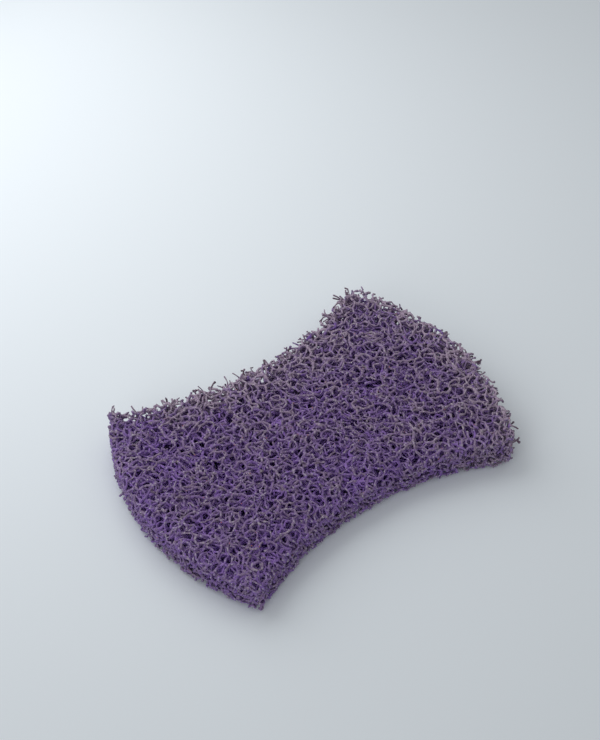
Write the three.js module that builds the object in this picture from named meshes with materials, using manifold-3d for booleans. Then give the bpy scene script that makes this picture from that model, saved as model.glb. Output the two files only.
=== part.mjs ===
// Abrasive hand pad: one die-cut piece of coarse open-web abrasive stock, waisted to suit the hand.
// Millimetres, +Z up. The pad lies on its lower face, its middle over the origin, its length along X.
import * as THREE from "three";
import { ConvexGeometry } from "three/addons/geometries/ConvexGeometry.js";
import { mergeVertices } from "three/addons/utils/BufferGeometryUtils.js";
import Module from "manifold-3d";

// Driving dimensions of the die-cut outline
const padLength = 114; // tip to tip of the two bowed ends
const cornerWidth = 78.6; // across the two corners of an end
const waistWidth = 56.5; // across the middle, between the hollow sides
const endBow = 11.5; // from the line of an end's corners out to its tip
const thickness = 12.8;
const arcSteps = 18; // straight facets in each of the outline's four arcs

// Driving dimensions of the open web
const porePitch = 6.0; // between the middles of neighbouring pores
const strandWidth = 0.8; // web left standing between two pores
const strandStray = 1.0; // how far a joint of the web lies off its even place
const poreDepth = 5.6; // the deepest pore of the two faces
const edgePoreDepth = 3.0; // the deepest pore of the cut edge
const poreShallowest = 0.8; // the shallowest pore, as a share of the deepest
const rimShare = 0.36; // how near the outline a pore of a face may centre, as a share of the pitch
const cornerShare = 0.95; // web that must lie under an edge pore near a corner, as a share of its depth
const cutClearance = 0.6; // how far a pore's cutter stands out of the surface

const padColour = 0x5a4a70;
const padRoughness = 0.85;

const wasm = await Module();
wasm.setup();

// The outline: two bowed ends and two hollow sides, each one arc
const halfLength = padLength / 2;
const cornerX = halfLength - endBow;
const cornerY = cornerWidth / 2;
const waistHollow = (cornerWidth - waistWidth) / 2;

const arcRadius = (halfChord, rise) => (halfChord ** 2 + rise ** 2) / (2 * rise);
const endRadius = arcRadius(cornerY, endBow);
const endCentreX = halfLength - endRadius;
const endHalfAngle = Math.asin(cornerY / endRadius);
const waistRadius = arcRadius(cornerX, waistHollow);
const waistCentreY = waistWidth / 2 + waistRadius;
const waistHalfAngle = Math.asin(cornerX / waistRadius);

function padOutline() {
  const quarter = Math.PI / 2;
  const outline = new THREE.Shape();
  outline.absarc(endCentreX, 0, endRadius, -endHalfAngle, endHalfAngle, false);
  outline.absarc(0, waistCentreY, waistRadius, -quarter + waistHalfAngle, -quarter - waistHalfAngle, true);
  outline.absarc(-endCentreX, 0, endRadius, Math.PI - endHalfAngle, Math.PI + endHalfAngle, false);
  outline.absarc(0, -waistCentreY, waistRadius, quarter + waistHalfAngle, quarter - waistHalfAngle, true);
  return outline;
}

// How far a point lies inside the outline, negative outside it
function depthInside(x, y) {
  const fromEnd = endRadius - Math.hypot(Math.abs(x) - endCentreX, y);
  const fromSide = Math.hypot(x, Math.abs(y) - waistCentreY) - waistRadius;
  return Math.min(fromEnd, fromSide);
}

// A closed geometry as a solid that can be cut
function solidOf(geometry) {
  const bare = new THREE.BufferGeometry().setAttribute("position", geometry.getAttribute("position"));
  if (geometry.index) bare.setIndex(geometry.index);
  const merged = mergeVertices(bare, 1e-4);
  const corners = merged.index.array;
  const triVerts = [];
  for (let i = 0; i < corners.length; i += 3) {
    const [a, b, c] = corners.subarray(i, i + 3);
    if (a !== b && b !== c && c !== a) triVerts.push(a, b, c);
  }
  return new wasm.Manifold(
    new wasm.Mesh({
      numProp: 3,
      vertProperties: merged.getAttribute("position").array,
      triVerts: new Uint32Array(triVerts),
    }),
  );
}

function geometryOf(solid) {
  const { vertProperties, triVerts } = solid.getMesh();
  const geometry = new THREE.BufferGeometry();
  geometry.setAttribute("position", new THREE.BufferAttribute(vertProperties, 3));
  geometry.setIndex(new THREE.BufferAttribute(triVerts, 1));
  geometry.computeVertexNormals();
  return geometry;
}

// A steady scatter between -1 and 1 for each place of the web, the same on every run
function scatter(...place) {
  let h = 0x811c9dc5;
  for (const n of place) h = Math.imul(h ^ (n + 0x3f7), 0x01000193);
  h = Math.imul(h ^ (h >>> 15), 0x85ebca6b);
  h = Math.imul(h ^ (h >>> 13), 0xc2b2ae35);
  return ((h ^ (h >>> 16)) >>> 0) / 0x80000000 - 1;
}

// The web is a honeycomb with its joints astray. A joint's place counts half pitches along a row
// and thirds of the row spacing across the rows, so that neighbouring pores share their joints.
const rowSpacing = porePitch * Math.sin(Math.PI / 3);
const poreJoints = [
  [0, 2],
  [1, 1],
  [1, -1],
  [0, -2],
  [-1, -1],
  [-1, 1],
];

// One face of the web: its two spacings, its deepest pore, where a point of it lies in space, and where
// its columns repeat
class WebFace {
  constructor(layer, pitch, spacing, deepest, place, columns = Infinity) {
    Object.assign(this, { layer, pitch, spacing, deepest, place, columns });
  }

  joint(m, n) {
    const turn = Number.isFinite(this.columns) ? 2 * this.columns : 1;
    const at = Number.isFinite(this.columns) ? ((m % turn) + turn) % turn : m;
    const angle = Math.PI * scatter(this.layer, at, n, 1);
    const reach = strandStray * Math.sqrt(Math.abs(scatter(this.layer, at, n, 2)));
    return new THREE.Vector2(
      (m * this.pitch) / 2 + reach * Math.cos(angle),
      (n * this.spacing) / 3 + reach * Math.sin(angle),
    );
  }

  // The cutter of one pore: a six-sided pit whose mouth stops half a strand short of its joints
  pore(column, row) {
    const m = 2 * column + Math.abs(row % 2);
    const n = 3 * row;
    const joints = poreJoints.map(([dm, dn]) => this.joint(m + dm, n + dn));
    const middle = joints.reduce((sum, p) => sum.add(p), new THREE.Vector2()).divideScalar(joints.length);
    const shallower = ((1 - poreShallowest) * (1 + scatter(this.layer, column, row, 3))) / 2;
    const depth = this.deepest * (1 - shallower);
    const spread = (1 - strandWidth / porePitch) * (1 + cutClearance / depth);
    const mouth = joints.map((p) => p.clone().sub(middle).multiplyScalar(spread).add(middle));
    const corners = mouth.map((p) => this.place(p.x, p.y, cutClearance));
    return new ConvexGeometry([...corners, this.place(middle.x, middle.y, -depth)]);
  }
}

// The pores of the upper or lower face, wherever a pore's even middle lies within the outline
function flatFacePores(face) {
  const pores = [];
  const rows = Math.ceil(cornerY / rowSpacing);
  const columns = Math.ceil(halfLength / porePitch);
  for (let row = -rows; row <= rows; row += 1) {
    for (let column = -columns - 1; column <= columns; column += 1) {
      const x = (column + Math.abs(row % 2) / 2) * porePitch;
      if (depthInside(x, row * rowSpacing) > rimShare * porePitch) pores.push(face.pore(column, row));
    }
  }
  return pores;
}

// The pores of the cut edge, in whole rows up the wall and whole columns round the outline. A corner
// stays whole: no pore is cut where its floor would come near the next wall.
function edgePores(outline) {
  const girth = outline.getLength();
  const columns = Math.round(girth / porePitch);
  const rows = Math.max(1, Math.round(thickness / rowSpacing));
  const spacing = thickness / rows;
  const place = (along, up, out) => {
    const t = (((along / girth) % 1) + 1) % 1;
    const point = outline.getPoint(t);
    const tangent = outline.getTangent(t);
    return new THREE.Vector3(point.x + tangent.y * out, point.y - tangent.x * out, up + spacing / 2);
  };
  const face = new WebFace(3, girth / columns, spacing, edgePoreDepth, place, columns);
  const pores = [];
  for (let row = 0; row < rows; row += 1) {
    for (let column = 0; column < columns; column += 1) {
      const floor = place((column + Math.abs(row % 2) / 2) * face.pitch, 0, -edgePoreDepth);
      if (depthInside(floor.x, floor.y) > cornerShare * edgePoreDepth) pores.push(face.pore(column, row));
    }
  }
  return pores;
}

// The largest solid that cutting leaves: scraps of web cut free all round fall away
function wholeBody(solid) {
  return solid.decompose().reduce((a, b) => (b.volume() > a.volume() ? b : a));
}

function abrasivePad() {
  const outline = padOutline();
  const options = { depth: thickness, bevelEnabled: false, curveSegments: arcSteps };
  const blank = solidOf(new THREE.ExtrudeGeometry(outline, options));
  const onTop = (x, y, out) => new THREE.Vector3(x, y, thickness + out);
  const onBottom = (x, y, out) => new THREE.Vector3(x, y, -out);
  const top = new WebFace(1, porePitch, rowSpacing, poreDepth, onTop);
  const bottom = new WebFace(2, porePitch, rowSpacing, poreDepth, onBottom);
  const pores = [...flatFacePores(top), ...flatFacePores(bottom), ...edgePores(outline)];
  const cut = wasm.Manifold.union(pores.map(solidOf));
  const material = new THREE.MeshStandardMaterial({
    color: padColour,
    roughness: padRoughness,
    metalness: 0,
  });
  const pad = new THREE.Mesh(geometryOf(wholeBody(blank.subtract(cut))), material);
  pad.name = "abrasive_pad";
  return pad;
}

const model = new THREE.Group();
model.add(abrasivePad());

export default model;
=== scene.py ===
import math
import bpy
import numpy as np
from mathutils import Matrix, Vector
from mathutils.geometry import delaunay_2d_cdt
from mathutils.kdtree import KDTree


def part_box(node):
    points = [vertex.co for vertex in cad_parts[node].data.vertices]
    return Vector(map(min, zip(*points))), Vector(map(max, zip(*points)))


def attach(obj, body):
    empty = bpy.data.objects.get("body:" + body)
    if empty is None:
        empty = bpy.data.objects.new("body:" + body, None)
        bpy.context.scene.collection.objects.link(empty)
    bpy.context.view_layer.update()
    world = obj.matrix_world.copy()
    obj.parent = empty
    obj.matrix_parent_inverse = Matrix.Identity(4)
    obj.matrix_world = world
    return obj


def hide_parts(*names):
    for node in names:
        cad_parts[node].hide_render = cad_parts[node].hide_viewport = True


# Open-web abrasive hand pad: layers of crimped fibre, drawn together and bonded by gritty resin.
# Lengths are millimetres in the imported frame, and turn to metres where a mesh is made.
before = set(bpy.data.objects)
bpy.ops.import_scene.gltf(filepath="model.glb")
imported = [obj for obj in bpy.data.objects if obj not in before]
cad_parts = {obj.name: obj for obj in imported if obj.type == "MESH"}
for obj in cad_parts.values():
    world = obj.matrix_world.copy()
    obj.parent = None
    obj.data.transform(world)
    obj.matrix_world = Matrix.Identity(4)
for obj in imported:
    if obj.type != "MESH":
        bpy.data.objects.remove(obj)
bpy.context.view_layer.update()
mm = 0.001
rng = np.random.default_rng(11)

padLow, padHigh = (np.array(corner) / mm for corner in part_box("abrasive_pad"))
padShape = {
    "length": padHigh[0] - padLow[0],
    "cornerWidth": padHigh[1] - padLow[1],
    "thickness": padHigh[2] - padLow[2],
    "waistWidth": 56.5,  # between the hollow sides
    "endBow": 11.5,  # from the line of an end's corners out to its tip
}


def arcRadius(halfChord, rise):
    return (halfChord**2 + rise**2) / (2 * rise)


cornerX = padShape["length"] / 2 - padShape["endBow"]
cornerY = padShape["cornerWidth"] / 2
endRadius = arcRadius(cornerY, padShape["endBow"])
endCentre = padShape["length"] / 2 - endRadius
waistRadius = arcRadius(cornerX, cornerY - padShape["waistWidth"] / 2)
waistCentre = padShape["waistWidth"] / 2 + waistRadius


# How far points lie inside the ends and the hollow sides of the die-cut outline, negative outside them
def edgeDepths(points):
    x, y = np.abs(points[:, 0]), np.abs(points[:, 1])
    fromEnd = endRadius - np.hypot(x - endCentre, y)
    fromSide = np.hypot(x, y - waistCentre) - waistRadius
    return fromEnd, fromSide


def depthInside(points):
    return np.minimum(*edgeDepths(points))


# How far points lie under the nearest face or cut edge
def depthUnder(points):
    toFace = np.minimum(points[:, 2], padShape["thickness"] - points[:, 2])
    return np.minimum(toFace, depthInside(points))


# The outline as a closed run of points, and the length walked to each
def outlineLoop():
    turn = np.linspace(-1, 1, 200)
    endTurn = turn * math.asin(cornerY / endRadius)
    waistTurn = turn * math.asin(cornerX / waistRadius)
    right = np.c_[endCentre + endRadius * np.cos(endTurn), endRadius * np.sin(endTurn)]
    back = np.c_[-waistRadius * np.sin(waistTurn), waistCentre - waistRadius * np.cos(waistTurn)]
    loop = np.concatenate([right[:-1], back[:-1], -right[:-1], -back[:-1], right[:1]])
    walked = np.cumsum(np.linalg.norm(np.diff(loop, axis=0), axis=1))
    return loop, np.concatenate([[0], walked])


# Fibres stand out of the cut on the two far sides, and are trimmed close on the near ones
cutEdge = {
    "endGive": (0.12, 1.1),  # how far a fibre end usually stands out of the near end and of the far one
    "sideGive": (0.08, 1.9),  # and out of the near hollow side and the far one
    "longest": 2.4,  # the most that one stands out, in times the usual
    "twigs": 0.8,  # share of the joints just outside the cut that stay, as the joints of twigs
    "twigLinks": 4,  # the most strands between a twig's joint and the web inside the cut
    "stub": 0.4,  # how much of its last strand a twig keeps
    "blunt": (0.85, 1.15),  # how unevenly the other strands end at the cut
    "shortest": 0.05,  # the least that is left of a cut strand
    "farWay": (0.655, 0.757),  # towards the far sides, square to the line between two corners
    "blend": 3.0,  # length over which near turns to far
    "beyond": 1.0,  # how far round those two corners the far sides reach
    "tuft": 0.7,  # how much further fibres stand out at the two back corners, as a share
    "tuftLift": 2.2,  # and how far the web's top stands up there
    "tuftRun": 6.0,
    "pressed": 3.6,  # how far the die pressed the upper face down at a near cut
    "lifted": 0.7,  # and how far the lower face lifts there
    "pressRun": 3.4,  # distance from the cut over which that eases off
}


# How much a place belongs to the far sides, from 0 to 1
def farShare(points, s):
    far = points[:, :2] @ s["farWay"] + s["beyond"]
    return 1 / (1 + np.exp(-far / s["blend"]))


# How near a place is to the back corners, where the web is tufted, from 0 to 1
def tuftShare(points, s):
    away = np.hypot(np.abs(points[:, 0]) - cornerX, points[:, 1] - cornerY)
    return np.exp(-away / s["tuftRun"])


def usualGive(points, s):
    fromEnd, fromSide = edgeDepths(points)
    atEnd = np.array(s["endGive"])[(points[:, 0] > 0).astype(int)]
    atSide = np.array(s["sideGive"])[(points[:, 1] > 0).astype(int)]
    return np.where(fromEnd < fromSide, atEnd, atSide * (1 + s["tuft"] * tuftShare(points, s)))


def pressedRim(points, s):
    ease = np.exp(-np.maximum(depthInside(points), 0) / s["pressRun"]) * (1 - farShare(points, s))
    level = points[:, 2] / padShape["thickness"]
    points[:, 2] += ease * (s["lifted"] * (1 - level) - s["pressed"] * level)
    points[:, 2] += s["tuftLift"] * tuftShare(points, s) * level
    return points


# The net that the fibres of one layer make
fibreNet = {
    "layers": 11,
    "faceCell": 3.1,  # between the middles of neighbouring openings, at the two faces
    "coreCell": 3.4,  # and halfway down, where less resin reaches
    "faceDepth": 1.5,  # depth to which the web is still that of the face
    "jitter": 0.52,  # how far those middles stray, as a share of the cell
    "missing": 0.27,  # share of the strands that are not there
    "uneven": 0.45,  # how far that differs from place to place, as a share
    "unevenRun": 15.0,
    "waver": 0.5,  # how far the layer rolls up and down
    "waverRun": 11.0,
    "stray": 0.95,  # how far one joint strays up or down
    "crimp": 0.17,  # bow of a strand between its joints, as a share of its length
    "crimpDepth": 2.7,  # strands deeper than this are left straight
    "radius": 0.27,
}


# Folds back what strays past a face
def insideFaces(z):
    low, high = fibreNet["radius"], padShape["thickness"] - fibreNet["radius"]
    z = np.where(z > high, 2 * high - z, np.where(z < low, 2 * low - z, z))
    return np.clip(z, low, high)


# Middles of openings: even rows, each middle strayed, the whole turned
def openings(width, height, cell, jitter, turn):
    rowGap = cell * math.sin(math.pi / 3)
    reach = math.hypot(width, height) / 2 + cell
    rows, columns = int(reach / rowGap) + 1, int(reach / cell) + 1
    row, column = np.meshgrid(np.arange(-rows, rows + 1), np.arange(-columns, columns + 1))
    middles = np.c_[(column + row % 2 / 2).ravel() * cell, row.ravel() * rowGap]
    middles += rng.uniform(-1, 1, middles.shape) * jitter * cell
    c, s = math.cos(turn), math.sin(turn)
    middles = middles @ np.array([[c, s], [-s, c]])
    return middles[(np.abs(middles) < (width / 2, height / 2)).all(axis=1)]


# The strands that part neighbouring openings: joints, and the pairs of joints that strands link
def netAround(middles):
    corners, _, triangles, *_ = delaunay_2d_cdt([Vector(m) for m in middles], [], [], 0, 1e-6, False)
    corners = np.array([c[:] for c in corners])
    joints = corners[np.array(triangles)].mean(axis=1)
    firstSeen, strands = {}, []
    for t, (a, b, c) in enumerate(triangles):
        for side in ((a, b), (b, c), (c, a)):
            key = (min(side), max(side))
            if key in firstSeen:
                strands.append((firstSeen[key], t))
            else:
                firstSeen[key] = t
    return joints, np.array(strands)


# A soft roll up and down over the pad, from a few waves that cross
def rolling(points, size, run):
    height = np.zeros(len(points))
    waves, lengths = 5, (0.7, 1.5)
    for _ in range(waves):
        way, phase = rng.uniform(0, 2 * math.pi, 2)
        wave = 2 * math.pi / (run * rng.uniform(*lengths))
        height += np.sin(points[:, :2] @ (math.cos(way), math.sin(way)) * wave + phase)
    return size * height / math.sqrt(waves)


def layerNet(level, s):
    depth = min(level, padShape["thickness"] - level)
    cell = np.interp(depth, [s["faceDepth"], padShape["thickness"] / 2], [s["faceCell"], s["coreCell"]])
    margin = 2 * (cutEdge["longest"] * max(cutEdge["sideGive"]) + cell)
    middles = openings(padShape["length"] + margin, padShape["cornerWidth"] + margin,
                       cell, s["jitter"], rng.uniform(0, math.pi))
    joints, strands = netAround(middles)
    z = level + rolling(joints, s["waver"], s["waverRun"]) + rng.uniform(-1, 1, len(joints)) * s["stray"]
    joints = np.c_[joints, insideFaces(z)]
    openness = 1 + rolling(joints[strands[:, 0]], s["uneven"], s["unevenRun"])
    return dieCut(joints, strands[rng.random(len(strands)) > s["missing"] * openness], cutEdge)


# Cuts a net to the outline: most strands end at the cut, and a few run on as twigs
def dieCut(joints, strands, s):
    depth = depthInside(joints)
    stretch = -depth / usualGive(joints, s)
    twig = rng.random(len(joints)) < s["twigs"] * np.exp(-stretch)
    stays = (depth > 0) | twig & (stretch < s["longest"])
    held = depth > 0
    whole = strands[stays[strands].all(axis=1)]
    for _ in range(s["twigLinks"]):  # a twig is held by the strands that lead back inside
        for a, b in ((0, 1), (1, 0)):
            held[whole[held[whole[:, a]], b]] = True
    stays &= held
    whole = strands[stays[strands].all(axis=1)]
    cut = strands[stays[strands].sum(axis=1) == 1]
    inner = np.where(stays[cut[:, 0]], cut[:, 0], cut[:, 1])
    outer = cut.sum(axis=1) - inner
    share = depth[inner] / np.maximum(depth[inner] - depth[outer], 1e-6)
    share = np.where(depth[inner] > 0, share, s["stub"]) * rng.uniform(*s["blunt"], len(cut))
    share = np.clip(share, s["shortest"], 1)
    ends = joints[inner] + (joints[outer] - joints[inner]) * share[:, None]
    tails = np.c_[inner, len(joints) + np.arange(len(ends))]
    return np.concatenate([joints, ends]), np.concatenate([whole, tails])


# Single fibres that wander through a layer's net
looseFibres = {
    "atFace": 180,  # fibres in a layer, at a face
    "atCore": 60,  # and halfway down
    "length": 11.0,
    "spread": (0.4, 1.6),  # how far single fibres differ in length
    "step": 1.4,
    "curl": 0.42,  # how sharply a fibre turns, in radians per millimetre
    "curlRun": 1.6,  # length over which it keeps turning one way
    "waver": 0.85,  # how far it strays up and down
    "waverRun": 2.0,
    "rooted": 1.0,  # how far inside the cut some of a trimmed fibre has to lie
    "fewest": 3,  # and how many points it has to keep
}


# A value that wanders about zero, keeping its course over a run of steps
def wander(count, run, size):
    keep = math.exp(-1 / run)
    kicks = rng.normal(0, size * math.sqrt(1 - keep**2), count)
    values = [rng.normal(0, size)]
    for kick in kicks[1:]:
        values.append(keep * values[-1] + kick)
    return np.array(values)


def looseFibre(middle, level, s):
    count = int(s["length"] * rng.uniform(*s["spread"]) / s["step"]) + 2
    turns = wander(count, s["curlRun"] / s["step"], s["curl"]) * s["step"]
    heading = rng.uniform(0, 2 * math.pi) + np.cumsum(turns)
    path = np.cumsum(np.c_[np.cos(heading), np.sin(heading)], axis=0) * s["step"]
    path += middle - path[count // 2]
    z = level + wander(count, s["waverRun"] / s["step"], s["waver"])
    return np.c_[path, insideFaces(z)]


# How far each of some fibres stands out of the cut
def someGive(points):
    return usualGive(points, cutEdge) * np.minimum(rng.exponential(1, len(points)), cutEdge["longest"])


# The stretches of a fibre that the die leaves
def trimmed(path, s):
    inside = depthInside(path) > -someGive(path)
    steps = np.flatnonzero(np.diff(np.concatenate([[0], inside.astype(int), [0]])))
    for start, end in zip(steps[::2], steps[1::2]):
        if end - start >= s["fewest"] and depthInside(path[start:end]).max() > s["rooted"]:
            yield path[start:end]


def layerFibres(level, s):
    half = np.array([padShape["length"], padShape["cornerWidth"]]) / 2
    depth = min(level, padShape["thickness"] - level)
    depths = [fibreNet["faceDepth"], padShape["thickness"] / 2]
    count = int(np.interp(depth, depths, [s["atFace"], s["atCore"]]))
    middles = rng.uniform(-half, half, (2 * count, 2))
    middles = middles[depthInside(middles) > 0][:count]
    webs = []
    for middle in middles:
        for path in trimmed(looseFibre(middle, level, s), s):
            index = np.arange(len(path))
            webs.append((path, np.c_[index[:-1], index[1:]]))
    return joinedWebs(webs)


# The net that shows on the cut edge, wrapped round the outline
edgeNet = {
    "cell": 2.7,
    "missing": 0.3,
    "inset": (0.1, 1.1),  # how far its joints lie inside the cut
    "overlap": 1.0,  # how far its two ends lie over each other
    "ahead": 0.3,  # distance along the outline over which its direction is taken
}


def wallNet(s):
    loop, walked = outlineLoop()
    girth, high = walked[-1], padShape["thickness"]
    middles = openings(girth + 4 * s["cell"], high + 2 * s["cell"], s["cell"], fibreNet["jitter"], 0.0)
    joints, strands = netAround(middles)
    inWall = (np.abs(joints) < (girth / 2 + s["overlap"], high / 2 - fibreNet["radius"])).all(axis=1)
    strands = strands[inWall[strands].all(axis=1)]
    strands = strands[rng.random(len(strands)) > s["missing"]]
    along = joints[:, 0] + girth / 2

    def onLoop(distance):
        return np.c_[[np.interp(distance % girth, walked, loop[:, axis]) for axis in (0, 1)]].T

    place = onLoop(along)
    ahead = onLoop(along + s["ahead"]) - place
    inward = np.c_[-ahead[:, 1], ahead[:, 0]] / np.linalg.norm(ahead, axis=1)[:, None]
    place = place + inward * rng.uniform(*s["inset"], len(place))[:, None]
    return np.c_[place, joints[:, 1] + high / 2], strands


def joinedWebs(webs):
    starts = np.cumsum([0] + [len(joints) for joints, _ in webs])
    joints = np.concatenate([joints for joints, _ in webs])
    return joints, np.concatenate([strands + start for (_, strands), start in zip(webs, starts)])


# Bows each strand that shows, by a point halfway along it
def crimped(joints, strands, s):
    a, b = joints[strands[:, 0]], joints[strands[:, 1]]
    shows = depthUnder((a + b) / 2) < s["crimpDepth"]
    a, b, bowed = a[shows], b[shows], strands[shows]
    span = np.linalg.norm(b - a, axis=1)[:, None]
    middles = (a + b) / 2 + rng.normal(0, s["crimp"], a.shape) * span
    index = len(joints) + np.arange(len(middles))
    halves = [np.c_[bowed[:, 0], index], np.c_[index, bowed[:, 1]]]
    return np.concatenate([joints, middles]), np.concatenate([strands[~shows]] + halves)


# Short broken fibres that stand off the strands near the surface, and longer ones along the far cuts
brokenFibres = {
    "count": 4200,
    "length": 1.7,
    "spread": (0.5, 1.5),  # how far they differ in length
    "standing": 0.5,  # how far out of the cut one may still be rooted
    "fringe": 1.3,  # how much longer they are at a far cut, as a share
    "fringeRun": 1.2,  # distance from the cut over which that eases off
    "outward": 1.6,  # how strongly they lean out there
    "rise": 1.6,  # how far some rise above the face there
    "crowd": 2.0,  # how many more of them stand there, as a share
    "tuft": 4.0,  # and at the two back corners
    "steps": 3,
    "curl": (0.1, 1.1),  # how sharply they bend at each step
    "depth": 1.1,  # depth over which they become few
    "slim": 0.72,  # their thickness, as a share of a whole strand's
}


# The way in which a depth falls fastest
def outwardWay(points, depthOf):
    step = 0.05
    slope = [depthOf(points + step * axis) - depthOf(points - step * axis) for axis in np.eye(3)]
    return -np.array(slope).T / (2 * step)


def withBroken(joints, strands, s):
    degree = np.bincount(strands.ravel(), minlength=len(joints))
    roots = np.flatnonzero((degree > 1) & (depthInside(joints) > -s["standing"]))
    fringe = np.exp(-np.maximum(depthInside(joints[roots]), 0) / s["fringeRun"])
    fringe *= farShare(joints[roots], cutEdge)
    tuft = tuftShare(joints[roots], cutEdge)
    chance = np.exp(-np.maximum(depthUnder(joints[roots]), 0) / s["depth"])
    chance *= 1 + s["crowd"] * fringe + s["tuft"] * tuft
    picked = rng.choice(len(roots), s["count"], replace=False, p=chance / chance.sum())
    root, fringe, tuft = joints[roots[picked]], fringe[picked][:, None], tuft[picked]
    way = randomWays(s["count"]) + s["outward"] * fringe * outwardWay(root, depthInside)
    reach = s["length"] * rng.uniform(*s["spread"], (s["count"], 1)) * (1 + s["fringe"] * fringe) / s["steps"]
    axis, curl = randomWays(s["count"]), rng.uniform(*s["curl"], (s["count"], 1))
    level = root[:, 2] / padShape["thickness"]
    rise = s["rise"] * (fringe[:, 0] + tuft) * rng.random(s["count"]) * level
    give = someGive(root)
    kept, place, bends = np.full(s["count"], True), root, []
    for step in range(s["steps"]):
        way /= np.linalg.norm(way, axis=1)[:, None]
        place = place + way * reach
        lifted = insideFaces(place[:, 2]) + rise * (step + 1) / s["steps"]
        bends.append(np.c_[place[:, :2], lifted])
        kept &= depthInside(place) > -give
        way = way + curl * np.cross(axis, way)
    before, links = roots[picked][kept], []
    for step in range(s["steps"]):
        index = len(joints) + step * kept.sum() + np.arange(kept.sum())
        links.append(np.c_[before, index])
        before = index
    bends = [bend[kept] for bend in bends]
    return np.concatenate([joints] + bends), np.concatenate([strands] + links)


def randomWays(count):
    ways = rng.normal(size=(count, 3))
    return ways / np.linalg.norm(ways, axis=1)[:, None]


# Wet resin draws strands together where they pass close, and sets there
bonding = {
    "reach": 0.85,
    "touch": 0.34,  # between the middles of bonded strands
    "rounds": 4,
    "pull": 0.35,
    "tension": 0.05,  # how far a strand straightens in each round
    "straight": -0.1,  # below this cosine two strands at a joint run on as one
}


# How near each point has another strand, and which point of it is nearest
def nearestOther(points, linked, reach):
    tree = KDTree(len(points))
    for i, p in enumerate(points):
        tree.insert(p, i)
    tree.balance()
    found = np.full(len(points), -1)
    gap = np.full(len(points), reach)
    for i, p in enumerate(points):
        own = linked[i]
        for _, j, distance in tree.find_range(p, reach):
            if j != i and distance < gap[i] and j not in own and not (linked[j] & own):
                found[i], gap[i] = j, distance
    return found, gap


def bonded(points, links, s):
    linked = [set() for _ in points]
    for a, b in links.tolist():
        linked[a].add(b)
        linked[b].add(a)
    degree = np.bincount(links.ravel(), minlength=len(points))
    inner = degree >= 2
    for _ in range(s["rounds"]):
        found, gap = nearestOther(points, linked, s["reach"])
        has = found >= 0
        away = (points[found] - points)[has] / np.maximum(gap[has], 1e-6)[:, None]
        points[has] += s["pull"] * away * (gap[has] - s["touch"])[:, None]
        pulled = np.zeros_like(points)
        np.add.at(pulled, links[:, 0], points[links[:, 1]])
        np.add.at(pulled, links[:, 1], points[links[:, 0]])
        mean = pulled[inner] / degree[inner][:, None]
        points[inner] += s["tension"] * (mean - points[inner])
    closeness = np.clip((s["reach"] - gap) / (s["reach"] - s["touch"]), 0, 1)
    return points, closeness, degree


# Strands that run on through the joints, each for as long as it runs fairly straight
def strandRuns(points, links, s):
    links = [tuple(pair) for pair in links.tolist()]
    meeting = [[] for _ in points]
    for k, (a, b) in enumerate(links):
        meeting[a].append(k)
        meeting[b].append(k)
    onward = {}
    for p, met in enumerate(meeting):
        ways = [points[sum(links[k]) - p] - points[p] for k in met]
        ways = [way / (np.linalg.norm(way) + 1e-9) for way in ways]
        pairs = [(ways[i] @ ways[j], met[i], met[j]) for i in range(len(met)) for j in range(i)]
        if pairs and min(pairs)[0] < s["straight"]:
            _, first, second = min(pairs)
            onward[p, first], onward[p, second] = second, first
    used, runs = set(), []
    for k, pair in enumerate(links):
        if k in used:
            continue
        used.add(k)
        run = list(pair)
        for _ in range(2):  # on from one end, then from the other
            link = onward.get((run[-1], k))
            while link is not None and link not in used:
                used.add(link)
                run.append(sum(links[link]) - run[-1])
                link = onward.get((run[-1], link))
            run.reverse()
        runs.append(run)
    return runs


# Round strands with a bead of resin on each free end, and their finish: dust and painted sheen on the open
# web, painted light in the depth and at the far cuts, painted shade on the ends standing out there
strandTube = {
    "sides": 5,
    "deepSides": 4,  # on strands that lie too deep to show their section
    "deepFrom": 1.9,
    "bondSwell": 0.3,  # thicker where resin gathers, beside another strand and at a joint
    "jointSwell": 0.38,
    "roughness": 0.14,
    "spread": 0.2,  # how far whole strands differ in thickness
    "bead": 1.3,
    "tip": 0.6,  # how far its point stands out, in times the radius
    "fade": 2.0,  # depth over which a strand's dusting and painted sheen fade, so that the top layer is painted paler
    "litBareFrom": 0.9,  # depth below which no dirt gets and the bare fibre shows, in a violet made lighter as painted light in the pores
    "litBareRun": 1.5,
    "faceDustAndSheen": 0.47,  # how much dust and painted sheen the faces carry
    "dustSpread": 0.6,  # how far whole strands differ in that, as a share
    "nearDustAndSheen": -0.2,  # how much more dust and painted sheen the near cut edges have, as a share
    "nearLitBareFibre": 0.25,  # how much of that lighter bare fibre shows there, painted light on the near cut walls
    "nearRun": 2.0,
    "farDustAndLight": 1.0,  # how much more dust the far cut edges have, as a share, most of it painted light that brightens those edges
    "farFadeAndLight": 1.0,  # how much deeper it lies there, carrying that painted light into the web
    "farLitBareFibre": 0.5,  # and how much less of the lighter bare fibre shows
    "farRun": 12.0,
    "shadedEndRun": 1.2,  # how far out of the far cuts a strand's end is fully dark, painted shade of a twig lit from behind
    "shadedEndSpread": (0.1, 1),  # how far whole strands differ in that
}


def strandRadius(closeness, degree, s):
    swell = 1 + s["bondSwell"] * closeness + s["jointSwell"] * (degree >= 3)
    swell = np.where(degree == 1, s["bead"], swell)
    return fibreNet["radius"] * swell * (1 + rng.normal(0, s["roughness"], len(swell)))


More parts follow.
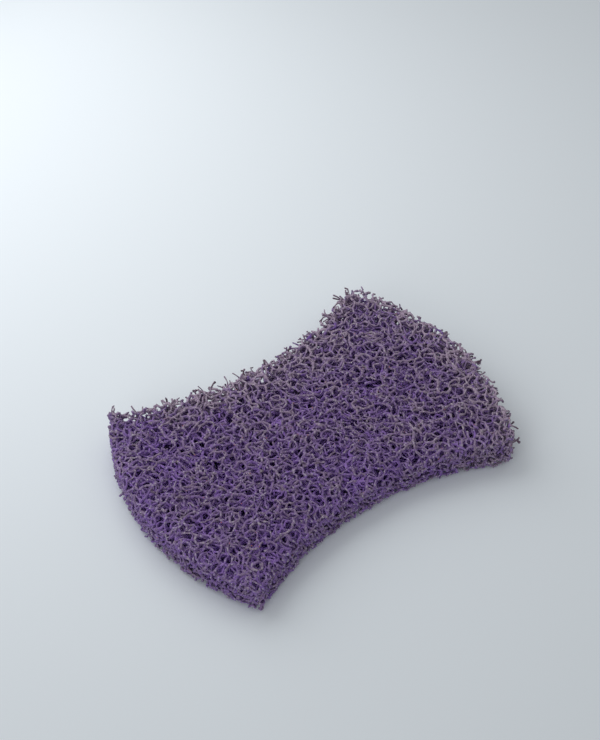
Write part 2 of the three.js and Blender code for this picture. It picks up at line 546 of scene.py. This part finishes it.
# Rings round one strand, carried along it without twist, and the tips a little past its ends
def ringsAlong(path, radius, sides, tip):
    along = np.gradient(path, axis=0)
    along /= np.linalg.norm(along, axis=1)[:, None] + 1e-9
    tips = path[[0, -1]] + along[[0, -1]] * radius[[0, -1], None] * ((-tip,), (tip,))
    anyWay = (0.31, 0.17, 0.94)
    side = np.cross(along[0], anyWay)
    frames = []
    for way in along:
        side = side - way * (side @ way)
        side = side / (math.sqrt(side @ side) + 1e-9)
        frames.append((side, np.cross(way, side)))
    angle = np.arange(sides) * 2 * math.pi / sides
    circle = np.c_[np.cos(angle), np.sin(angle)] @ np.array(frames)
    return path[:, None] + circle * radius[:, None, None], tips


# Faces of one strand: its sides, and at each end a point where it is free or a flat cap where it isn't
def tubeFaces(rings, sides, start, freeStart, freeEnd):
    ring = start + np.arange(rings - 1)[:, None] * sides
    k = np.arange(sides)
    n = (k + 1) % sides
    quads = np.stack([ring + k, ring + n, ring + sides + n, ring + sides + k], axis=-1)
    last = start + (rings - 1) * sides
    tip = last + sides
    faces = quads.reshape(-1, 4).tolist()
    if freeStart:
        faces += np.c_[start + n, start + k, np.full(sides, tip)].tolist()
        tip += 1
    else:
        faces.append((start + k[::-1]).tolist())
    if freeEnd:
        faces += np.c_[last + k, last + n, np.full(sides, tip)].tolist()
    else:
        faces.append((last + k).tolist())
    return faces


def newPiece(name, corners, faces, material, values):
    mesh = bpy.data.meshes.new(name)
    mesh.from_pydata((corners * mm).tolist(), [], faces)
    for label, value in values.items():
        mesh.attributes.new(label, "FLOAT", "POINT").data.foreach_set("value", value.astype(np.float32))
    mesh.materials.append(material)
    addBakeMap(mesh)
    piece = bpy.data.objects.new(name, mesh)
    bpy.context.scene.collection.objects.link(piece)
    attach(piece, "root")
    return piece


# A square of the bake's map for each face
def addBakeMap(mesh):
    counts = np.zeros(len(mesh.polygons), np.int32)
    mesh.polygons.foreach_get("loop_total", counts)
    across = math.ceil(math.sqrt(len(counts)))
    face = np.repeat(np.arange(len(counts)), counts)
    corner = np.arange(len(face)) - np.repeat(np.cumsum(counts) - counts, counts)
    angle = (corner / counts[face] + 1 / 8) * 2 * math.pi
    cell = np.c_[face % across, face // across] + 0.5
    reach = 0.66  # of a face's corners from the middle of its square
    places = (cell + np.c_[np.cos(angle), np.sin(angle)] * reach) / across
    layer = mesh.uv_layers.new(name="OFBake")
    layer.data.foreach_set("uv", places.astype(np.float32).ravel())


# Shader nodes
def addNode(tree, kind, **inputs):
    node = tree.nodes.new("ShaderNode" + kind)
    for socket, value in inputs.items():
        setSocket(tree, node.inputs[socket.replace("_", " ")], value)
    return node


def setSocket(tree, socket, value):
    if isinstance(value, bpy.types.NodeSocket):
        tree.links.new(value, socket)
    else:
        socket.default_value = value


def newGroup(name, inputs, outputs):
    tree = bpy.data.node_groups.new(name, "ShaderNodeTree")
    for label, kind, value in inputs:
        socket = tree.interface.new_socket(label, in_out="INPUT", socket_type="NodeSocket" + kind)
        socket.default_value = value
    for label, kind in outputs:
        tree.interface.new_socket(label, in_out="OUTPUT", socket_type="NodeSocket" + kind)
    return tree, tree.nodes.new("NodeGroupInput"), tree.nodes.new("NodeGroupOutput")


def placeGroup(tree, group, **inputs):
    node = tree.nodes.new("ShaderNodeGroup")
    node.node_tree = group
    for label, value in inputs.items():
        setSocket(tree, node.inputs[label.replace("_", " ")], value)
    return node


def mathNode(tree, operation, a, b, clamped=False):
    node = tree.nodes.new("ShaderNodeMath")
    node.operation = operation
    node.use_clamp = clamped
    setSocket(tree, node.inputs[0], a)
    setSocket(tree, node.inputs[1], b)
    return node.outputs["Value"]


def mixColours(tree, factor, a, b):
    node = tree.nodes.new("ShaderNodeMix")
    node.data_type = "RGBA"
    setSocket(tree, node.inputs["Factor"], factor)
    setSocket(tree, node.inputs["A"], a)
    setSocket(tree, node.inputs["B"], b)
    return node.outputs["Result"]


# Pale scouring dust on what lies open, in patches, over the colour underneath; the extra on what faces up is
# painted sheen, a painted highlight on each strand's upper side
def makeFaceDustAndSheen():
    inputs = [("Colour", "Color", (0.1, 0.06, 0.2, 1)), ("Dust Colour", "Color", (0.3, 0.25, 0.35, 1)),
              ("Exposure", "Float", 0.5), ("Tone", "Float", 0.0), ("Lying", "Float", 0.5),
              ("Patch Scale", "Float", 400.0)]
    tree, given, result = newGroup("faceDustAndSheen", inputs, [("Colour", "Color")])
    place = addNode(tree, "TexCoord").outputs["Object"]
    patch = addNode(tree, "TexNoise", Vector=place, Scale=given.outputs["Patch Scale"], Detail=2.0)
    middle, swing = (0.3, 0.7), 0.4  # noise between these thins or thickens the dust by this share
    patchy = addNode(tree, "MapRange", Value=patch.outputs["Fac"], From_Min=middle[0], From_Max=middle[1],
                     To_Min=-swing, To_Max=swing)
    spread = mathNode(tree, "ADD", patchy.outputs["Result"], given.outputs["Tone"])
    # Painted highlight: the upper side of each strand takes more of the pale colour, as though lit from above
    facing = addNode(tree, "SeparateXYZ", Vector=addNode(tree, "NewGeometry").outputs["Normal"]).outputs["Z"]
    lyingDustAndSheen = mathNode(tree, "MULTIPLY", facing, given.outputs["Lying"])
    spread = mathNode(tree, "ADD", spread, lyingDustAndSheen)
    lain = mathNode(tree, "ADD", spread, 1.0)
    dustAndSheen = mathNode(tree, "MULTIPLY", lain, given.outputs["Exposure"], clamped=True)
    colour = mixColours(tree, dustAndSheen, given.outputs["Colour"], given.outputs["Dust Colour"])
    tree.links.new(colour, result.inputs["Colour"])
    return tree


# Fine mineral grain set in the resin: a height, and a mask of single grains
def makeResinGrain():
    inputs = [("Grain Scale", "Float", 5000.0)]
    tree, given, result = newGroup("resinGrain", inputs, [("Height", "Float"), ("Grain", "Float")])
    place = addNode(tree, "TexCoord").outputs["Object"]
    cells = addNode(tree, "TexVoronoi", Vector=place, Scale=given.outputs["Grain Scale"])
    height = mathNode(tree, "SUBTRACT", 1.0, cells.outputs["Distance"])
    single = addNode(tree, "SeparateColor", Color=cells.outputs["Color"])
    tree.links.new(height, result.inputs["Height"])
    tree.links.new(single.outputs["Red"], result.inputs["Grain"])
    return tree


faceDustAndSheen = makeFaceDustAndSheen()
resinGrain = makeResinGrain()

webFinish = {
    "violet": (0.165, 0.082, 0.335, 1),  # resin under the dust
    "umber": (0.15, 0.11, 0.15, 1),  # and where brown grit lies in it
    "dustAndSheen": (0.25, 0.18, 0.285, 1),  # scoured dust where the web lies open, and the painted sheen of its upper strands
    "fluffAndFarLight": (0.40, 0.31, 0.42, 1),  # painted light: paler towards the frayed far cuts, where the edges catch more light
    "lyingDustAndSheen": 0.5,  # how much more dust and painted sheen go on what faces up, a painted highlight
    "litBareFibre": (0.45, 0.26, 0.77, 1),  # bare fibre in the depth of the web, made lighter as painted light in the pores
    "shadedCutEnd": (0.075, 0.035, 0.06, 1),  # painted shade: dark plum on the ends that stand out of the far cuts, their unlit side against the light
    # Pale flecks: pale grit, and partly painted glints of grains catching the light
    "paleFleckGlint": (0.52, 0.49, 0.52, 1),
    "darkFleck": (0.07, 0.04, 0.10, 1),
    "umberFrom": (0.57, 0.70),  # noise at which umber begins, and at which it is full
    "paleGlintFrom": (0.85, 0.89),  # grains that show as pale flecks, pale grit that is partly painted glints
    "darkFrom": (0.17, 0.13),  # and as dark ones
    "fleckShow": 0.5,
    "umberScale": 420.0,
    "patchScale": 240.0,
    "grainScale": 4200.0,
    "fleckScale": 2300.0,
    "roughness": (0.5, 0.85),
    "bump": 0.5,
    "bumpDepth": 0.06,
    "specular": 0.35,
}


def attribute(tree, name):
    node = tree.nodes.new("ShaderNodeAttribute")
    node.attribute_name = name
    return node.outputs["Fac"]


# Rises from nothing to the most as a value passes between two limits
def reached(tree, value, limits, most):
    node = addNode(tree, "MapRange", Value=value, From_Min=limits[0], From_Max=limits[1], To_Max=most)
    return node.outputs["Result"]


def newMaterial(name):
    material = bpy.data.materials.new(name)
    material.use_nodes = True
    return material, material.node_tree, material.node_tree.nodes["Principled BSDF"]


def makeWebMaterial(s):
    material, tree, shader = newMaterial("abrasive_web")
    place = addNode(tree, "TexCoord").outputs["Object"]
    brown = addNode(tree, "TexNoise", Vector=place, Scale=s["umberScale"], Detail=1.0)
    brown = reached(tree, brown.outputs["Fac"], s["umberFrom"], 1.0)
    under = mixColours(tree, brown, s["violet"], s["umber"])
    # Painted light: deeper strands take a lighter violet, standing for light that reaches into the pores
    under = mixColours(tree, attribute(tree, "litBareFibre"), under, s["litBareFibre"])
    # Painted light: the pale colour turns paler still towards the far cuts
    dustAndSheenColour = mixColours(tree, attribute(tree, "fluffAndFarLight"), s["dustAndSheen"], s["fluffAndFarLight"])
    dustAndSheen = placeGroup(tree, faceDustAndSheen, Colour=under, Dust_Colour=dustAndSheenColour, Patch_Scale=s["patchScale"],
                      Exposure=attribute(tree, "exposure"), Tone=attribute(tree, "tone"), Lying=s["lyingDustAndSheen"])
    grain = placeGroup(tree, resinGrain, Grain_Scale=s["grainScale"])
    fleck = placeGroup(tree, resinGrain, Grain_Scale=s["fleckScale"]).outputs["Grain"]
    # Pale flecks, partly painted glints
    paleGlint = reached(tree, fleck, s["paleGlintFrom"], s["fleckShow"])
    dark = reached(tree, fleck, s["darkFrom"], s["fleckShow"])
    colour = mixColours(tree, paleGlint, dustAndSheen.outputs["Colour"], s["paleFleckGlint"])
    colour = mixColours(tree, dark, colour, s["darkFleck"])
    # Painted shade: ends standing out of the far cuts are darkened
    colour = mixColours(tree, attribute(tree, "shadedCutEnd"), colour, s["shadedCutEnd"])
    smooth, coarse = s["roughness"]
    rough = addNode(tree, "MapRange", Value=grain.outputs["Grain"], To_Min=smooth, To_Max=coarse)
    bump = addNode(tree, "Bump", Height=grain.outputs["Height"], Strength=s["bump"],
                   Distance=s["bumpDepth"] * mm)
    tree.links.new(colour, shader.inputs["Base Color"])
    tree.links.new(rough.outputs["Result"], shader.inputs["Roughness"])
    tree.links.new(bump.outputs["Normal"], shader.inputs["Normal"])
    shader.inputs["Specular IOR Level"].default_value = s["specular"]
    return material


webMaterial = makeWebMaterial(webFinish)
print("materials done")

webs = []
for layer in range(fibreNet["layers"]):
    level = padShape["thickness"] * (layer + 0.5) / fibreNet["layers"]
    webs.append(layerNet(level, fibreNet))
    webs.append(layerFibres(level, looseFibres))
webs.append(wallNet(edgeNet))
points, links = crimped(*joinedWebs(webs), fibreNet)
wholeCount = len(points)
points, links = withBroken(points, links, brokenFibres)
print("web laid:", len(points), "points,", len(links), "links")
points, closeness, degree = bonded(points, links, bonding)
runs = strandRuns(points, links, bonding)
laid = points.copy()  # the web as it was before the die pressed it, for what depends on depth
points = pressedRim(points, cutEdge)
radius = strandRadius(closeness, degree, strandTube)
radius[wholeCount:] *= brokenFibres["slim"]
points[:, 2] = np.maximum(points[:, 2], radius * (1 + strandTube["spread"]))  # the lowest lie on the floor
print("web bonded:", len(runs), "strands")

# The web's pieces, from the lower face to the upper one
webPieces = ["web_lower_face", "web_lower", "web_middle", "web_upper", "web_upper_face"]


# What the finish needs to know along a strand
looks = ("exposure", "tone", "shadedCutEnd", "litBareFibre", "fluffAndFarLight")


def strandLooks(middle, s):
    under, inside = depthUnder(middle), np.maximum(depthInside(middle), 0)
    far = farShare(middle, cutEdge)
    atNear, atFar = (1 - far) * np.exp(-inside / s["nearRun"]), far * np.exp(-inside / s["farRun"])
    # Painted light: towards the far cuts the pale dust grows, reaches deeper and turns paler, as though those
    # edges were lit brighter
    fade = s["fade"] * (1 + s["farFadeAndLight"] * atFar)
    # Dust with painted sheen: strands near the open faces are painted paler than those under them, as though
    # catching the light
    exposure = np.exp(-np.maximum(under - fibreNet["radius"], 0) / fade)
    exposure *= s["faceDustAndSheen"] * (1 + s["nearDustAndSheen"] * atNear + s["farDustAndLight"] * atFar)
    tone = np.full(len(middle), rng.normal(0, s["dustSpread"]))
    # Painted shade: strand ends that stand out of the far cuts darken, as twigs seen against the light
    standing = np.clip(-depthInside(middle) / s["shadedEndRun"], 0, 1)
    shadedCutEnd = far * standing * rng.uniform(*s["shadedEndSpread"])
    # Painted light: the lighter bare violet grows with depth, and shows on the near cut walls
    litBareFibre = np.clip((under - s["litBareFrom"]) / s["litBareRun"], 0, 1)
    litBareFibre = np.maximum(litBareFibre * (1 - s["farLitBareFibre"] * atFar), s["nearLitBareFibre"] * atNear)
    return np.c_[exposure, tone, shadedCutEnd, litBareFibre, atFar]


def makeWebPiece(name, chosen, s):
    corners, faces, values, start = [], [], [], 0
    for run in chosen:
        free = np.array([degree[run[0]] == 1, degree[run[-1]] == 1])
        sides = s["sides"] if depthUnder(laid[run]).min() < s["deepFrom"] else s["deepSides"]
        thickness = radius[run] * rng.uniform(1 - s["spread"], 1 + s["spread"])
        rings, tips = ringsAlong(points[run], thickness, sides, s["tip"])
        middle = np.concatenate([laid[run].repeat(sides, axis=0), laid[[run[0], run[-1]]][free]])
        values.append(strandLooks(middle, s))
        faces += tubeFaces(len(rings), sides, start, *free)
        corners += [rings.reshape(-1, 3), tips[free]]
        start += len(middle)
    values = dict(zip(looks, np.concatenate(values).T))
    piece = newPiece(name, np.concatenate(corners), faces, webMaterial, values)
    piece.data.shade_smooth()
    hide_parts("abrasive_pad")
    triangles = sum(len(f) - 2 for f in faces)
    print(name, len(chosen), "strands,", triangles, "triangles")
    return piece


heights = np.array([points[run, 2].mean() for run in runs])
order = np.argsort(heights, kind="stable")
amount = np.cumsum([len(runs[i]) for i in order])
slab = np.minimum(amount * len(webPieces) // amount[-1], len(webPieces) - 1)
for k, name in enumerate(webPieces):
    makeWebPiece(name, [runs[i] for i in order[slab == k]], strandTube)


# Mineral grains on the strands that show
gritGrains = {
    "count": 20000,
    "size": (0.09, 0.22),  # half the width of a grain
    "spread": (0.6, 1.2),  # how far its corners differ in that
    "deepest": 2.2,  # depth below which there are none
    "depthRun": 1.0,  # depth over which they become few
    "seat": 0.95,  # from the middle of the strand, in times its radius
    "bareCut": 0.85,  # how much fewer lie on the near cut edges, as a share
    "bareRun": 1.5,
    "outward": 0.8,  # how much the side that lies open takes more of them
    "plum": (0.12, 0.07, 0.19, 1),
    "violet": (0.23, 0.17, 0.31, 1),
    "rust": (0.55, 0.10, 0.05, 1),
    # Pale and white grains: pale mineral, and partly painted glints of grains catching the light
    "paleGlint": (0.44, 0.40, 0.44, 1),
    "whiteGlint": (0.75, 0.74, 0.72, 1),
    "mix": {"plum": 0.0, "violet": 0.34, "rust": 0.76, "paleGlint": 0.79, "whiteGlint": 0.96},  # where each begins
    "roughness": 0.35,
    "grainScale": 9000.0,
    "bump": 0.4,
    "bumpDepth": 0.03,
}


def makeGritMaterial(s):
    material, tree, shader = newMaterial("mineral_grit")
    ramp = addNode(tree, "ValToRGB", Fac=attribute(tree, "mineral"))
    ramp.color_ramp.interpolation = "CONSTANT"
    while len(ramp.color_ramp.elements) < len(s["mix"]):
        ramp.color_ramp.elements.new(0.5)
    for element, (kind, position) in zip(ramp.color_ramp.elements, s["mix"].items()):
        element.position = position
        element.color = s[kind]
    grain = placeGroup(tree, resinGrain, Grain_Scale=s["grainScale"])
    bump = addNode(tree, "Bump", Height=grain.outputs["Height"], Strength=s["bump"],
                   Distance=s["bumpDepth"] * mm)
    tree.links.new(ramp.outputs["Color"], shader.inputs["Base Color"])
    tree.links.new(bump.outputs["Normal"], shader.inputs["Normal"])
    shader.inputs["Roughness"].default_value = s["roughness"]
    return material


def makeGrit(s):
    shown = np.flatnonzero((depthUnder(points) < s["deepest"]) & (degree >= 2))
    chance = np.exp(-np.maximum(depthUnder(points[shown]), 0) / s["depthRun"])
    atCut = np.exp(-np.maximum(depthInside(points[shown]), 0) / s["bareRun"])
    chance *= 1 - s["bareCut"] * (1 - farShare(points[shown], cutEdge)) * atCut
    at = rng.choice(shown, s["count"], p=chance / chance.sum())
    first = randomWays(s["count"])
    second = np.cross(first, randomWays(s["count"]))
    second /= np.linalg.norm(second, axis=1)[:, None]
    axes = np.stack([first, second, np.cross(first, second)], axis=1)
    seat = randomWays(s["count"]) + s["outward"] * outwardWay(points[at], depthUnder)
    seat /= np.linalg.norm(seat, axis=1)[:, None]
    centre = points[at] + seat * radius[at][:, None] * s["seat"]
    centre[:, 2] = np.maximum(centre[:, 2], s["size"][1] * s["spread"][1])  # none sinks into the floor
    reach = rng.uniform(*s["size"], s["count"])[:, None, None]
    reach = reach * rng.uniform(*s["spread"], (s["count"], 6, 1))
    corners = centre[:, None] + np.concatenate([axes, -axes], axis=1) * reach
    octahedron = [(0, 1, 2), (1, 3, 2), (3, 4, 2), (4, 0, 2), (1, 0, 5), (3, 1, 5), (4, 3, 5), (0, 4, 5)]
    faces = (np.arange(s["count"])[:, None, None] * 6 + np.array(octahedron)).reshape(-1, 3)
    values = {"mineral": np.repeat(rng.random(s["count"]), 6)}
    piece = newPiece("mineral_grit", corners.reshape(-1, 3), faces.tolist(), makeGritMaterial(s), values)
    print("mineral_grit", s["count"], "grains,", len(faces), "triangles")
    return piece


makeGrit(gritGrains)

# The floor, the light and the camera, in metres
studio = {
    "floor": (0.80, 0.86, 0.91, 1),
    "floorSize": 6.0,
    "floorRoughness": 0.9,
    "floorSpecular": 0.1,
    "sky": 0.43,
    "key": {"place": (-0.03, 0.20, 0.18), "size": 0.3, "power": 0.43},
    "fill": {"place": (-0.70, -0.30, 0.32), "size": 0.5, "power": 1.1},
}


def makeFloor(s):
    half = s["floorSize"] / 2
    mesh = bpy.data.meshes.new("floor")
    corners = [(-half, -half, 0), (half, -half, 0), (half, half, 0), (-half, half, 0)]
    mesh.from_pydata(corners, [], [(0, 1, 2, 3)])
    material, _, shader = newMaterial("floor")
    shader.inputs["Base Color"].default_value = s["floor"]
    shader.inputs["Roughness"].default_value = s["floorRoughness"]
    shader.inputs["Specular IOR Level"].default_value = s["floorSpecular"]
    mesh.materials.append(material)
    floor = bpy.data.objects.new("floor", mesh)
    bpy.context.scene.collection.objects.link(floor)


def makeSoftbox(name, s):
    data = bpy.data.lights.new(name, "AREA")
    data.energy = s["power"]
    data.size = s["size"]
    lamp = bpy.data.objects.new(name, data)
    lamp.location = s["place"]
    lamp.rotation_euler = (-lamp.location).to_track_quat("-Z", "Y").to_euler()
    bpy.context.scene.collection.objects.link(lamp)


def makeSky(strength):
    world = bpy.data.worlds.new("studio")
    world.use_nodes = True
    world.node_tree.nodes["Background"].inputs["Color"].default_value = (1, 1, 1, 1)
    world.node_tree.nodes["Background"].inputs["Strength"].default_value = strength
    bpy.context.scene.world = world


makeFloor(studio)
makeSky(studio["sky"])
makeSoftbox("key", studio["key"])
makeSoftbox("fill", studio["fill"])

photoCamera = {
    "azimuth": -36.2,
    "elevation": 46.0,
    "distance": 525.6,
    "target": (18.2, 29.8, 0.0),
    "lens": 81.0,
}


def makeCamera(s):
    a, e = math.radians(s["azimuth"]), math.radians(s["elevation"])
    back = Vector((math.sin(a) * math.cos(e), -math.cos(a) * math.cos(e), math.sin(e)))
    data = bpy.data.cameras.new("camera")
    data.lens = s["lens"]
    camera = bpy.data.objects.new("camera", data)
    camera.location = (Vector(s["target"]) + back * s["distance"]) * mm
    camera.rotation_euler = (-back).to_track_quat("-Z", "Y").to_euler()
    bpy.context.scene.collection.objects.link(camera)
    bpy.context.scene.camera = camera


makeCamera(photoCamera)
bpy.context.scene.view_settings.view_transform = "Standard"
